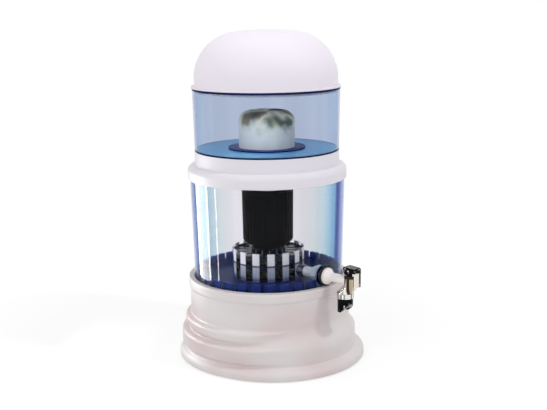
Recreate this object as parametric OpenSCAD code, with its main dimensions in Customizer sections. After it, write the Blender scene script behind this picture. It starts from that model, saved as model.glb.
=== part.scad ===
// Countertop gravity water filter: a stepped stand, two clear tanks, a filter cover between them,
// a ceramic dome above, a media cartridge and a case of mineral stones below, and a lever tap.
// Millimetres. +Z is up, the origin is the centre of the foot ring's underside, and the tap faces -Y.

/* [Stand] */
// Height of the stand, from the underside of its lip to its rim
base_h = 133; // [120:1:150]
// Width of the flat rim around the tank
rim_w = 9.1; // [7:0.1:12]
// Height of the plain band below the rim
rim_band_h = 16; // [10:1:20]
// How far the wall under the rim band is set back
wall_recess = 1.6; // [0.5:0.1:3]
// Height of the middle tier's top above the lip's underside
mid_top = 71; // [66:1:76]
// How far the middle tier stands out from the rim
mid_step = 7.3; // [5:0.1:9]
// Height of the low tier's top above the lip's underside
low_top = 48; // [45:1:50]
// How far the low tier stands out from the middle tier
low_step = 6.5; // [4:0.1:8]
// How far the lip stands out from the low tier
lip_step = 4.6; // [3:0.1:8]
// Height of the lip
lip_h = 16; // [15:1:20]
// Height of the grooves between the tiers
groove_h = 4.5; // [3:0.1:6]
// How far the low tier's trimming circle lies behind the axis
low_fade = 15; // [10:0.5:20]
// How much larger than the low tier its trimming circle is
low_fade_over = 9.5; // [6:0.5:12]
// How far the middle tier's trimming circle lies behind the axis
mid_fade = 24; // [18:0.5:30]
// How much larger than the middle tier its trimming circle is
mid_fade_over = 13; // [10:0.5:16]
// Depth of the grooves between the tiers
groove_d = 4.6; // [2:0.1:6]
// Rounding of the tiers' edges
tier_round = 6; // [3:0.1:7]
// Wall of the stand
base_wall = 3.2; // [2.4:0.1:4]
// Depth of the seat that the lower tank stands in
seat_depth = 6; // [4:0.1:9]
// Number of ribs under the plate that the lower tank stands on
base_ribs = 4; // [3:1:8]
// Depth of the ribs under the plate
rib_depth = 24; // [15:1:35]

/* [Smooth front of the stand] */
// How far the front's own axis lies ahead of the stand's axis
front_shift = 14; // [10:0.5:18]
// How far the front's lip reaches past the stand's lip
toe_reach = 11.5; // [6:0.5:14]
// Height of the front's lip
toe_h = 15; // [12:1:17]
// How far the front's belly stands past the low tier
belly_proud = 0.9; // [0.3:0.1:2]
// How far the front's wall lies behind the rim band
front_back = 0.3; // [0.3:0.1:1]
// Height at which the front's belly starts to curve in
belly_top = 38; // [34:1:42]
// Height at which the front's wall turns upright
curve_top = 76; // [70:1:84]

/* [Foot ring] */
// Middle radius of the rubber ring
foot_r = 143; // [138:0.5:144]
// Width of the rubber ring
foot_w = 6; // [4:0.1:7]
// How far the rubber ring stands below the lip
foot_proud = 1.5; // [1:0.1:3]
// Depth of the groove that holds the rubber ring
foot_sunk = 1.8; // [1:0.1:3]

/* [Lower tank] */
// Outer radius of the lower tank at its floor
low_tank_r = 121.8; // [115:0.1:128]
// How far the lower tank widens from floor to mouth
low_tank_flare = 4.3; // [2:0.1:6]
// Height of the lower tank
low_tank_h = 180; // [172:0.5:200]
// Wall of both tanks
tank_wall = 2.5; // [2:0.1:3.5]
// Floor of the lower tank
low_floor = 4; // [3:0.1:5]
// Number of blocks in the ring inside the lower tank's foot
blocks = 32; // [16:1:36]
// Width of one block
block_w = 17; // [6:1:18]
// Height of the blocks above the floor
block_h = 13; // [4:0.1:16]
// How far the blocks reach in from the wall
block_d = 5.5; // [3:0.1:8]
// Gap between the lower tank and the stand's rim
tank_gap = 0.8; // [0.4:0.1:1.5]

/* [Filter cover] */
// Wall of the cover
cover_wall = 2.5; // [2:0.1:3.5]
// How far the cover's skirt hangs down over the lower tank
skirt_h = 12; // [9:0.5:16]
// Gap between the cover's parts and the tanks
cover_gap = 0.5; // [0.3:0.1:1]
// Height of the cover's shoulder above the lower tank's mouth
shoulder_h = 10; // [8:0.5:12]
// Rounding of the cover's shoulder
shoulder_r = 9; // [6:0.5:10]
// Depth of the ring that centres the cover in the lower tank's mouth
cover_ring_h = 8; // [5:0.5:10]
// Height of the neck above the shoulder
neck_h = 22.5; // [18:0.5:28]
// Thickness of the deck
deck_t = 3; // [2.4:0.1:4]

/* [Upper tank] */
// Outer radius of the upper tank at its floor, which is also the neck's radius
up_tank_r = 117; // [112:0.1:119]
// How far the upper tank widens from floor to rim
up_tank_flare = 1.6; // [0.5:0.1:4]
// Height of the upper tank
up_tank_h = 101; // [85:0.5:140]
// Floor of the upper tank
up_floor = 2.5; // [2:0.1:4]
// How far the bead at the upper tank's rim stands out
bead_out = 0.9; // [0.5:0.1:2]
// Height of the bead at the upper tank's rim
bead_h = 3; // [2:0.1:6]
// Height of the ring under the floor that centres the tank in the neck
spigot_h = 8; // [5:0.1:10]

/* [Lid] */
// Wall of the lid
lid_wall = 2.4; // [2:0.1:3.5]
// Height of the lid's round top above its flange
dome_h = 88; // [80:0.5:96]
// How far the dome's foot lies inside the tank's rim
dome_in = 4.0; // [3.5:0.1:7]
// Radius of the lid's rounded shoulder
dome_corner_r = 74; // [68:1:76]
// Radius of the lid's gently crowned top
dome_crown_r = 380; // [240:5:480]
// How far the lid's flange reaches past the tank's rim
flange_over = 0.8; // [0:0.1:2]
// Thickness of the lid's flange
flange_t = 2.5; // [2:0.1:4]
// Height of the ring that centres the lid in the tank
lid_ring_h = 7; // [4:0.1:10]
// Gap around the lid's ring
lid_gap = 0.8; // [0.4:0.1:1.5]

/* [Ceramic filter] */
// Radius of the ceramic dome
ceramic_r = 45.4; // [38:0.1:50]
// Height of the ceramic dome
ceramic_h = 58.5; // [50:0.5:70]
// Rounding of the ceramic dome's shoulder
ceramic_round = 18; // [12:0.5:24]
// Wall of the ceramic dome
ceramic_wall = 8; // [5:0.5:10]
// Radius of the plate under the ceramic dome
plate_r = 62.5; // [55:0.5:70]
// Thickness of the plate
plate_t = 2.2; // [2:0.1:4]
// Radius of the plate's threaded stem
outlet_r = 6; // [5:0.1:8]
// Length of the stem below the tank's floor
outlet_len = 15; // [13:0.5:17]
// Radius of the water passage through the stem
outlet_bore = 3; // [2:0.1:4]
// Clearance of the stem in its hole
outlet_gap = 0.3; // [0.2:0.05:0.6]
// Outer radius of the sealing washer
washer_r = 19; // [14:0.5:24]
// Thickness of the sealing washer
washer_t = 1; // [0.6:0.1:1.4]
// Radius of the wing nut's hub
wing_hub_r = 11; // [9:0.5:13]
// Height of the wing nut
wing_h = 8; // [6:0.5:9]
// Reach of the wing nut's two wings
wing_reach = 22; // [16:0.5:28]

/* [Cartridge] */
// Outer radius of the housing at its top
cart_r = 41; // [36:0.1:44]
// How much narrower the housing is at its foot
cart_taper = 1; // [0:0.1:3]
// Wall of the housing
cart_wall = 2.6; // [2:0.1:4]
// Number of ribs around the housing
cart_ribs = 36; // [18:1:44]
// How far the ribs stand out
cart_rib_d = 1.3; // [0.6:0.1:2]
// Width of one rib
cart_rib_w = 2.8; // [1.5:0.1:3.4]
// Radius of the step under the housing
cart_step_r = 33; // [28:0.5:36]
// Height of the step under the housing
cart_step_h = 5; // [3:0.5:8]
// Radius of the outlet
cart_out_r = 23; // [16:0.5:26]
// Height of the outlet cap
cart_out_h = 5.5; // [5:0.5:8]
// Gap between the outlet cap and the mineral case's battlements
cart_clear = 1; // [0.5:0.1:3]
// Radius of the threaded neck that passes through the deck
cart_neck_r = 17; // [12:0.5:20]
// How far the threaded neck stands above the deck
cart_neck_up = 8; // [7:0.5:9]
// Height of the lock nut on the threaded neck
lock_nut_h = 6.5; // [5:0.5:7]
// Radius of the flange that the deck rests on
cart_flange_r = 28; // [24:0.5:32]
// Thickness of the cartridge's plates
cart_plate_t = 3; // [2:0.1:4]
// Thickness of the seal between flange and deck
cart_seal_t = 2; // [1.5:0.1:3]
// Height of the shank between the cartridge's top plate and its flange
cart_shank_h = 24; // [18:0.5:26]
// Radius of the shank
cart_shank_r = 24; // [20:0.5:26]
// Depth of the plug that closes the housing
cart_plug_h = 8; // [5:0.5:12]
// Thickness of the felt pads between the media
pad_t = 2; // [1:0.1:3]
// Depth of the resin bed
resin_h = 15.5; // [10:0.5:18]
// Depth of the silica sand bed
sand_h = 13; // [8:0.5:15]
// Depth of the zeolite bed
zeolite_h = 13; // [8:0.5:15]
// Clearance between sliding or screwed pieces
slip = 0.15; // [0.05:0.05:0.3]

/* [Mineral case] */
// Outer radius of the case
case_r = 59.4; // [50:0.1:60]
// Wall of the case
case_wall = 2; // [1.6:0.1:3]
// Height of the case's lower part
case_body_h = 26; // [21:0.5:27]
// Height of the case's lid, with its battlements
case_lid_h = 20.5; // [17:0.5:21.5]
// Height of the battlements
merlon_h = 5; // [3:0.1:6]
// Number of windows around the case
windows = 15; // [12:1:26]
// Width of one window
window_w = 12; // [5:0.1:12.5]
// Height of the band above and below the windows
window_band = 3; // [2.4:0.1:4]
// Width of the slots in the lid's top
case_slot_w = 4; // [2:0.1:6]
// Radius of the lid's middle cup
case_cup_r = 27; // [24:0.5:32]
// Depth of the plug that holds the lid in the lower part
case_plug_h = 4; // [3:0.1:5]
// Clearance of the lid's plug
case_gap = 0.4; // [0.3:0.05:0.8]
// Radius of one mineral stone
stone_r = 6.4; // [5:0.1:6.8]
// Number of rings of stones around the middle stone
stone_rings = 3; // [1:1:3]

/* [Tap] */
// Height of the tap's axis above the lower tank's underside
tap_up = 22.5; // [20:0.5:40]
// Radius of the flat boss on the tank
boss_r = 16.2; // [15.8:0.1:16.3]
// How far the boss stands out of the tank's wall
boss_out = 2.2; // [1.5:0.1:3]
// How far the boss stands in from the tank's wall
boss_in = 4.4; // [4:0.1:6]
// Radius of the threaded shank
shank_r = 8; // [6:0.1:9]
// Length of the shank inside the tank, from the boss
shank_in = 45; // [30:0.5:48]
// Radius of the water channel through the tap
channel_r = 4.5; // [3:0.1:5]
// Radius of the black outer gasket
gasket_r = 15.8; // [13.5:0.1:16.5]
// Thickness of both gaskets
gasket_t = 2.5; // [1.5:0.1:3.5]
// Radius of the barrel's flange
tap_flange_r = 13.2; // [12:0.1:14]
// Thickness of the barrel's flange
tap_flange_t = 3; // [2:0.1:4]
// Radius of the barrel
barrel_r = 7.2; // [6:0.1:7.5]
// Length of the taper between flange and barrel
barrel_taper = 9; // [4:0.5:12]
// Distance from the flange's face to the axis of the tap's body
tap_reach = 46; // [40:0.5:60]
// Radius of the back nut, across its corners
nut_r = 15; // [13:0.1:16]
// Height of the back nut
nut_h = 10; // [7:0.5:12]
// Length of the strainer on the shank's end
strainer_len = 12; // [9:0.5:14]
// Wall of the strainer
strainer_wall = 1.7; // [1.2:0.1:2]
// Radius of the tap's body
tap_body_r = 10.8; // [10:0.1:12]
// Radius of the valve chamber
chamber_r = 7.5; // [7:0.1:8]
// Height of the body's top above the tap's axis
body_up = 8.5; // [8:0.5:10]
// How far the valve seat lies below the tap's axis
seat_down = 12; // [11:0.5:13]
// Radius of the hole in the valve seat
seat_r = 3.5; // [2.5:0.1:4]
// How far the spout's axis lies behind the body's axis
spout_back = 11; // [9:0.5:13]
// Height of the spout's top below the tap's axis
spout_down = 20; // [19:0.5:22]
// Radius of the spout's nozzle
nozzle_r = 12.3; // [11.5:0.1:13]
// Length of the nozzle
nozzle_len = 22; // [16:0.5:24]
// Radius of the nozzle's bore
nozzle_bore = 6.8; // [5:0.1:7]
// Angle of the nozzle's slanted mouth
nozzle_cut = 47; // [30:1:55]
// Outer radius of the ring nut above the nozzle
ring_nut_r = 13.3; // [12.8:0.1:14]
// Height of the ring nut
ring_nut_h = 7.5; // [6:0.5:8]

/* [Tap valve and lever] */
// Thickness of the bonnet's top
bonnet_t = 1.7; // [1.2:0.1:2.5]
// Depth of the bonnet's plug in the body
bonnet_plug = 4; // [3:0.5:5]
// Radius of the stem
stem_r = 2.5; // [2:0.1:3]
// Radial clearance of running fits
run_fit = 0.06; // [0.02:0.01:0.1]
// How far the stem rises when the lever is fully up
stem_lift = 2.6; // [2:0.1:3]
// Radius of the rubber seat plug
plug_r = 6.2; // [5:0.1:6.4]
// Height of the rubber seat plug
plug_h = 7; // [5:0.5:7]
// Radius of the collar that the spring pushes on
collar_r = 6.4; // [5.5:0.1:6.6]
// Thickness of the spring's collar
collar_t = 2; // [1.5:0.1:2.5]
// Radius of the spring's coil
coil_r = 4.6; // [4:0.1:5]
// Radius of the spring's wire
wire_r = 0.45; // [0.3:0.05:0.5]
// Number of turns of the spring
coil_turns = 3; // [2:1:3]
// Distance from the lever's pin down to the cam's resting face
cam_r = 7; // [6.5:0.1:8.5]
// Gap between the cam and the bonnet
cam_gap = 0.35; // [0.3:0.05:0.5]
// Angle that the lever swings up
lever_swing = 80; // [60:1:85]
// Width of the lever
lever_w = 15; // [14.5:0.5:20]
// Height of the lever's top above its pin
lever_up = 6; // [5.5:0.1:9]
// Reach of the lever outward from its pin
lever_out = 13.6; // [13.4:0.1:17]
// Thickness of the lever's finger tab
tab_t = 2.2; // [1.6:0.1:2.4]
// Width of the lever's finger tab
tab_w = 14; // [9:0.5:14.5]
// Length of the finger tab below the pin
tab_down = 25; // [20:0.5:30]
// Radius of the lever's pin
pin_r = 1.5; // [1.2:0.1:1.8]
// Length of the lever's pin
pin_len = 14.5; // [12:0.5:15]
// Width of the stem's head, between the lever's cheeks
head_w = 7.6; // [6:0.1:8]
// Radius of the stem's head
head_r = 3.6; // [3:0.1:4]

/* [Hidden] */
$fn = 96;
cut = 1; // how far cutting shapes run past the faces that they cut
ridge = 0.4; // half the play that keeps neighbouring curved faces apart

// Radii of the stand, from the tank outwards
seat_r_in = low_tank_r + tank_gap;
rim_r = seat_r_in + rim_w;
mid_r = rim_r + mid_step;
low_r = mid_r + low_step;
lip_r = low_r + lip_step;
hollow_r = rim_r - wall_recess - base_wall;
front_wall_r = rim_r - front_shift - front_back;
belly_r = low_r - front_shift + belly_proud;
toe_r = lip_r - front_shift + toe_reach;
low_z = lip_h + groove_h;
mid_z = low_top + groove_h;

// Heights, from the table upwards
lip_z = foot_proud;
rim_z = lip_z + base_h;
seat_z = rim_z - seat_depth;
low_mouth_z = seat_z + low_tank_h;
shoulder_z = low_mouth_z + shoulder_h;
deck_z = low_mouth_z;
neck_z = shoulder_z + neck_h;
up_mouth_z = neck_z + up_tank_h;
low_floor_z = seat_z + low_floor;
up_floor_z = neck_z + up_floor;

// Radii of tanks and cover
low_mouth_r = low_tank_r + low_tank_flare;
cover_r = low_mouth_r + cover_gap + cover_wall;
neck_in_r = up_tank_r - cover_wall;
spigot_r = neck_in_r - cover_gap;
up_mouth_r = up_tank_r + up_tank_flare;
up_mouth_in = up_mouth_r - tank_wall;
bead_r = up_mouth_r + bead_out;

// Lid: the crown's arc and the shoulder's arc share a tangent point
dome_r = bead_r - dome_in;
dome_z = up_mouth_z + flange_t;
corner_x = dome_r - dome_corner_r;
crown_to_corner = sqrt(pow(dome_crown_r - dome_corner_r, 2) - pow(corner_x, 2));
corner_z = dome_z + dome_h + crown_to_corner - dome_crown_r;
crown_z = corner_z - crown_to_corner;
tangent_x = corner_x * dome_crown_r / (dome_crown_r - dome_corner_r);
tangent_z = crown_z + crown_to_corner * dome_crown_r / (dome_crown_r - dome_corner_r);

// Ceramic filter
ceramic_z = up_floor_z + plate_t;
hole_r = outlet_r + outlet_gap;

// Mineral case
case_z = low_floor_z;
case_lid_z = case_z + case_body_h;
case_top_z = case_lid_z + case_lid_h;
case_in_r = case_r - case_wall;
case_plate_z = case_top_z - merlon_h - 2 * case_wall;
stone_pitch = 2 * stone_r + ridge;

// Cartridge, from the deck that it hangs from down to the mineral case
cart_seal_z = deck_z - cart_seal_t;
cart_flange_z = cart_seal_z - cart_plate_t;
cart_plate_z = cart_flange_z - cart_shank_h;
cart_out_z = case_top_z + cart_clear;
cart_step_z = cart_out_z + cart_out_h;
cart_z = cart_step_z + cart_step_h;
cart_h = cart_plate_z - cart_z;
cart_foot_r = cart_r - cart_taper;
cart_in_r = cart_foot_r - cart_wall;
cart_floor_z = cart_z + cart_plate_t;
media_top_z = cart_plate_z - cart_plug_h;
carbon_z = cart_floor_z + resin_h + sand_h + zeolite_h + 4 * pad_t;
carbon_h = media_top_z - carbon_z;

// Tap, measured outwards from the tank's axis
tap_z = seat_z + tap_up;
tap_wall_r = low_tank_r + low_tank_flare * tap_up / low_tank_h;
boss_face = tap_wall_r + boss_out;
boss_back = tap_wall_r - boss_in;
flange_face = boss_face + gasket_t + tap_flange_t;
tap_y = flange_face + tap_reach;
spout_y = tap_y - spout_back;
shank_end = boss_back - shank_in;
nut_back = boss_back - gasket_t - nut_h;
strainer_end = shank_end - strainer_wall - ridge;
tap_top_z = tap_z + body_up;
seat_face_z = tap_z - seat_down;
spout_z = tap_z - spout_down;
nozzle_z = spout_z - ring_nut_h;
nozzle_end_z = nozzle_z - nozzle_len;
spigot_out_r = ring_nut_r - 3;
socket_r = nozzle_bore + 1.6;
bonnet_z = tap_top_z + bonnet_t;
plug_top_z = seat_face_z + plug_h;
plug_skin = 2; // rubber between the stem's foot and the seat
spring_z = plug_top_z + collar_t;
spring_top_z = tap_top_z - bonnet_plug;
pin_z = bonnet_z + cam_gap + cam_r;
cam_rate = stem_lift / (lever_swing * PI / 180); // rise of the stem per radian of the lever

// ---- Shared shapes ----

// A flat ring standing on z
module ring(r_out, r_in, z, h) {
    translate([0, 0, z])
        difference() {
            cylinder(h = h, r = r_out);
            translate([0, 0, -cut])
                cylinder(h = h + 2 * cut, r = r_in);
        }
}

// Outline of a slab around the axis, from z0 to z1, with its outer corners rounded
module slab_outline(r, z0, z1, round_low, round_top) {
    difference() {
        translate([0, z0])
            square([r, z1 - z0]);
        translate([r - round_low, z0])
            corner_waste(round_low, -1);
        translate([r - round_top, z1])
            corner_waste(round_top, 1);
    }
}

// What a rounded corner takes off, above (side 1) or below (side -1) a slab's edge
module corner_waste(r, side) {
    if (r > 0)
        difference() {
            translate([0, side > 0 ? -r : -cut])
                square([r + cut, r + cut]);
            translate([0, -side * r])
                circle(r);
        }
}

// A cylinder or cone pointing outwards along the tap's axis, from one distance to another
module outward(from, to, r1, r2) {
    translate([0, -from, tap_z])
        rotate([90, 0, 0])
            cylinder(h = to - from, r1 = r1, r2 = r2);
}

// Copies around the axis, the first one turned by start
module around(n, start = 0) {
    for (i = [0:n - 1])
        rotate([0, 0, start + i * 360 / n])
            children();
}

// ---- Stand ----

// Lip, grooves, wall and rim band, as heights above the lip's underside
module stand_outline() {
    slab_outline(lip_r, 0, lip_h, 2, 2 * tier_round);
    slab_outline(low_r - groove_d, 0, low_z + cut, 0, 0);
    slab_outline(mid_r - groove_d, 0, mid_z + cut, 0, 0);
    slab_outline(rim_r - wall_recess, 0, base_h, 0, 0);
    slab_outline(rim_r, base_h - rim_band_h, base_h, wall_recess, 3);
}

// One tier, which runs out towards the front where its trimming circle crosses it
module tier(r, z0, z1, fade, over) {
    intersection() {
        rotate_extrude()
            slab_outline(r, z0, z1, tier_round, tier_round);
        translate([0, fade, z0 - cut])
            cylinder(h = z1 - z0 + 2 * cut, r = r + over);
    }
}

// Radius of the smooth front at height z, about its own axis
function front_r(z) = front_wall_r
    + (belly_r - front_wall_r) * (1 + cos(180 * (z - belly_top) / (curve_top - belly_top))) / 2;

// Outside of the smooth front
module front_outline() {
    steps = 14;
    top = base_h - rim_band_h + 2 * cut;
    curve = [for (i = [0:steps]) belly_top + (curve_top - belly_top) * i / steps];
    polygon(concat([[0, 0], [belly_r, 0]],
                   [for (z = curve) [front_r(z), z]],
                   [[front_wall_r, top], [0, top]]));
    slab_outline(toe_r, 0, toe_h, 2, toe_h / 2 + 2);
}

// Hollow of the stand, open below
module stand_hollow_outline() {
    translate([0, -cut])
        square([foot_r - foot_w / 2 - base_wall, low_top - base_wall + cut]);
    square([mid_r - groove_d - 2 * base_wall, mid_top - base_wall]);
    square([hollow_r, base_h - seat_depth]);
}

module base_stand() {
    color([0.93, 0.93, 0.95])
        translate([0, 0, lip_z])
            difference() {
                union() {
                    rotate_extrude()
                        stand_outline();
                    tier(low_r, low_z, low_top, low_fade, low_fade_over);
                    tier(mid_r, mid_z, mid_top, mid_fade, mid_fade_over);
                    translate([0, -front_shift, 0])
                        rotate_extrude()
                            front_outline();
                }
                rotate_extrude()
                    stand_hollow_outline();
                translate([0, 0, base_h - seat_depth - cut])
                    cylinder(h = seat_depth + 2 * cut, r = seat_r_in);
                translate([0, 0, -cut])
                    foot_groove();
            }
}

// Ribbed plate inside the stand's rim, which carries the lower tank
module seat_plate() {
    plate_in = hollow_r - slip;
    color([0.93, 0.93, 0.95])
        translate([0, 0, seat_z - base_wall]) {
            cylinder(h = base_wall, r = plate_in);
            around(base_ribs, 180 / base_ribs)
                translate([0, -base_wall / 2, -rib_depth])
                    cube([plate_in - base_wall, base_wall, rib_depth + base_wall / 2]);
        }
}

// Groove in the lip's underside for the rubber ring
module foot_groove() {
    difference() {
        cylinder(h = foot_sunk + cut, r = foot_r + foot_w / 2);
        cylinder(h = foot_sunk + cut, r = foot_r - foot_w / 2);
    }
}

module foot_ring() {
    color([0.15, 0.15, 0.16])
        ring(foot_r + foot_w / 2, foot_r - foot_w / 2, 0, foot_proud + foot_sunk);
}

// ---- Lower tank ----

module lower_tank() {
    top_in = low_mouth_r - tank_wall;
    foot_in = low_tank_r - tank_wall;
    color([0.55, 0.70, 0.92, 0.45])
        difference() {
            union() {
                translate([0, 0, seat_z])
                    rotate_extrude()
                        polygon([[0, 0], [low_tank_r - 2, 0], [low_tank_r, 2],
                                 [low_mouth_r, low_tank_h], [top_in, low_tank_h],
                                 [foot_in, low_floor], [0, low_floor]]);
                for (i = [1:blocks - 1])
                    rotate([0, 0, i * 360 / blocks - 90])
                        translate([foot_in - block_d, -block_w / 2, seat_z + low_floor / 2])
                            cube([block_d + tank_wall / 2, block_w, block_h + low_floor / 2]);
                outward(boss_back, boss_face, boss_r, boss_r);
            }
            outward(boss_back - cut, boss_face + cut, shank_r + slip, shank_r + slip);
        }
}

// ---- Filter cover ----

module filter_cover() {
    in_r = cover_r - cover_wall;
    ring_r = low_mouth_r - tank_wall - 2 * cover_gap;
    ring_in = ring_r - cover_wall;
    skirt_z = low_mouth_z - skirt_h;
    color([0.94, 0.94, 0.96])
        rotate_extrude() {
            difference() {
                union() {
                    slab_outline(cover_r, skirt_z, shoulder_z, 1, shoulder_r);
                    translate([0, deck_z])
                        square([up_tank_r, neck_z - deck_z]);
                }
                translate([0, skirt_z - cut])
                    square([in_r, skirt_h + cut]);
                translate([up_tank_r, deck_z - cut])
                    square([ring_in - up_tank_r, shoulder_h - cover_wall + cut]);
                translate([0, deck_z + deck_t])
                    square([neck_in_r, neck_z - deck_z]);
                translate([0, deck_z - cut])
                    square([cart_neck_r + slip, deck_t + 2 * cut]);
            }
            translate([ring_in, deck_z - cover_ring_h])
                square([cover_wall, cover_ring_h + cut]);
        }
}

// ---- Upper tank ----

module upper_tank() {
    bead_z = up_tank_h - bead_h;
    color([0.60, 0.74, 0.94, 0.40])
        difference() {
            union() {
                translate([0, 0, neck_z])
                    rotate_extrude()
                        polygon([[0, 0], [up_tank_r - 1, 0], [up_tank_r, 1],
                                 [up_mouth_r, bead_z - bead_out], [bead_r, bead_z],
                                 [bead_r, up_tank_h], [up_mouth_in, up_tank_h],
                                 [up_tank_r - tank_wall, up_floor], [0, up_floor]]);
                ring(spigot_r, spigot_r - tank_wall, neck_z - spigot_h, spigot_h + up_floor / 2);
            }
            translate([0, 0, neck_z - cut])
                cylinder(h = up_floor + 2 * cut, r = hole_r);
        }
}

// ---- Lid ----

// Filled half outline of the dome, all its faces drawn in by t
module dome_outline(t) {
    crown = dome_crown_r - t;
    corner = dome_corner_r - t;
    big = dome_r + cut;
    translate([0, dome_z - cut])
        square([dome_r - t, corner_z - dome_z + cut]);
    intersection() {
        translate([corner_x, corner_z])
            circle(corner);
        translate([corner_x, corner_z - cut])
            square([big, big]);
    }
    intersection() {
        translate([0, crown_z])
            circle(crown);
        polygon([[0, crown_z], [2 * tangent_x, 2 * tangent_z - crown_z], [0, 2 * tangent_z]]);
        translate([0, corner_z - cut])
            square([big, big]);
    }
}

module dome_lid() {
    ring_r = up_mouth_in - lid_gap;
    opening_r = min(ring_r, dome_r) - lid_wall;
    color([0.93, 0.92, 0.96])
        difference() {
            union() {
                rotate_extrude()
                    dome_outline(0);
                translate([0, 0, up_mouth_z])
                    cylinder(h = flange_t, r = bead_r + flange_over);
                translate([0, 0, up_mouth_z - lid_ring_h])
                    cylinder(h = lid_ring_h, r = ring_r);
            }
            rotate_extrude()
                dome_outline(lid_wall);
            translate([0, 0, up_mouth_z - lid_ring_h - cut])
                cylinder(h = lid_ring_h + flange_t + 2 * cut, r = opening_r);
        }
}

// ---- Ceramic filter ----

module ceramic_plate() {
    stem_z = neck_z - outlet_len;
    color([0.10, 0.16, 0.42])
        difference() {
            union() {
                translate([0, 0, up_floor_z])
                    cylinder(h = plate_t, r = plate_r);
                translate([0, 0, stem_z])
                    cylinder(h = up_floor_z - stem_z, r = outlet_r);
            }
            translate([0, 0, stem_z - cut])
                cylinder(h = ceramic_z - stem_z + 2 * cut, r = outlet_bore);
            ring(washer_r, outlet_r, up_floor_z - cut, washer_t + cut);
        }
}

// Filled half outline of the ceramic dome, drawn in by t
module ceramic_outline(t) {
    slab_outline(ceramic_r - t, -t, ceramic_h - t, 0, ceramic_round - t);
}

module ceramic_dome() {
    color([0.90, 0.89, 0.84])
        translate([0, 0, ceramic_z])
            rotate_extrude()
                difference() {
                    ceramic_outline(0);
                    ceramic_outline(ceramic_wall);
                }
}

module ceramic_washer() {
    color([0.18, 0.18, 0.20])
        ring(washer_r - slip, outlet_r + slip, up_floor_z, washer_t);
}

module wing_nut() {
    wing_t = 3;
    foot_z = neck_z - wing_h;
    color([0.92, 0.92, 0.94])
        difference() {
            union() {
                translate([0, 0, foot_z])
                    cylinder(h = wing_h, r = wing_hub_r);
                translate([-wing_reach, -wing_t / 2, foot_z])
                    cube([2 * wing_reach, wing_t, wing_h - 2]);
            }
            translate([0, 0, foot_z - cut])
                cylinder(h = wing_h + 2 * cut, r = outlet_r + run_fit);
        }
}

// ---- Cartridge ----

module cartridge_top() {
    neck_top = deck_z + deck_t + cart_neck_up;
    color([0.92, 0.92, 0.94])
        difference() {
            union() {
                translate([0, 0, cart_plate_z - cart_plug_h])
                    cylinder(h = cart_plug_h, r = cart_in_r - slip);
                translate([0, 0, cart_plate_z])
                    cylinder(h = cart_plate_t, r = cart_r);
                translate([0, 0, cart_plate_z])
                    cylinder(h = cart_shank_h, r = cart_shank_r);
                translate([0, 0, cart_flange_z])
                    cylinder(h = cart_plate_t, r = cart_flange_r);
                translate([0, 0, cart_flange_z])
                    cylinder(h = neck_top - cart_flange_z, r = cart_neck_r);
            }
            translate([0, 0, cart_plate_z - cart_plug_h - cut])
                cylinder(h = neck_top - cart_plate_z + cart_plug_h + 2 * cut, r = cart_neck_r - cart_wall);
            translate([0, 0, cart_plate_z - cart_plug_h - cut])
                cylinder(h = cart_plug_h + cut, r = cart_in_r - cart_wall);
        }
}

module cartridge_seal() {
    color([0.16, 0.16, 0.18])
        ring(cart_flange_r, cart_neck_r + slip, cart_seal_z, cart_seal_t);
}

module cartridge_lock_nut() {
    nut_z = deck_z + deck_t;
    grip_n = 12;
    color([0.92, 0.92, 0.94])
        difference() {
            translate([0, 0, nut_z])
                cylinder(h = lock_nut_h, r = cart_flange_r);
            translate([0, 0, nut_z - cut])
                cylinder(h = lock_nut_h + 2 * cut, r = cart_neck_r + run_fit);
            around(grip_n)
                translate([cart_flange_r + 1, 0, nut_z - cut])
                    cylinder(h = lock_nut_h + 2 * cut, r = 3);
        }
}

module cartridge_housing() {
    rib_len = cart_h - 8;
    lean = atan(cart_taper / cart_h);
    color([0.07, 0.07, 0.08])
        difference() {
            union() {
                translate([0, 0, cart_z])
                    cylinder(h = cart_h, r1 = cart_foot_r, r2 = cart_r);
                translate([0, 0, cart_step_z])
                    cylinder(h = cart_step_h, r = cart_step_r);
                around(cart_ribs)
                    translate([cart_foot_r, -cart_rib_w / 2, cart_z + 2])
                        rotate([0, lean, 0])
                            translate([-cart_wall / 2, 0, 0])
                                cube([cart_wall / 2 + cart_rib_d, cart_rib_w, rib_len]);
            }
            translate([0, 0, cart_floor_z])
                cylinder(h = cart_h, r = cart_in_r);
            translate([0, 0, cart_step_z - cut])
                cylinder(h = cart_h, r = cart_out_r - cart_wall - slip);
        }
}

module cartridge_outlet() {
    holes = 8;
    floor_t = 2;
    color([0.08, 0.08, 0.09])
        difference() {
            union() {
                translate([0, 0, cart_out_z])
                    cylinder(h = cart_out_h, r = cart_out_r);
                translate([0, 0, cart_step_z])
                    cylinder(h = cart_step_h, r = cart_out_r - cart_wall - 2 * slip);
            }
            translate([0, 0, cart_out_z + floor_t])
                cylinder(h = cart_out_h + cart_step_h, r = cart_out_r - 2 * cart_wall);
            around(holes)
                translate([cart_out_r / 2, 0, cart_out_z - cut])
                    cylinder(h = floor_t + 2 * cut, r = 2);
        }
}

// One bed of media in the housing
module bed(z, h) {
    translate([0, 0, z])
        cylinder(h = h, r = cart_in_r - slip);
}

module felt_pads() {
    color([0.85, 0.85, 0.82]) {
        bed(cart_floor_z, pad_t);
        bed(cart_floor_z + resin_h + pad_t, pad_t);
        bed(cart_floor_z + resin_h + sand_h + 2 * pad_t, pad_t);
        bed(cart_floor_z + resin_h + sand_h + zeolite_h + 3 * pad_t, pad_t);
    }
}

module resin_bed() {
    color([0.75, 0.50, 0.20])
        bed(cart_floor_z + pad_t, resin_h);
}

module sand_bed() {
    color([0.85, 0.80, 0.65])
        bed(cart_floor_z + resin_h + 2 * pad_t, sand_h);
}

module zeolite_bed() {
    color([0.60, 0.65, 0.60])
        bed(cart_floor_z + resin_h + sand_h + 3 * pad_t, zeolite_h);
}

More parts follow.
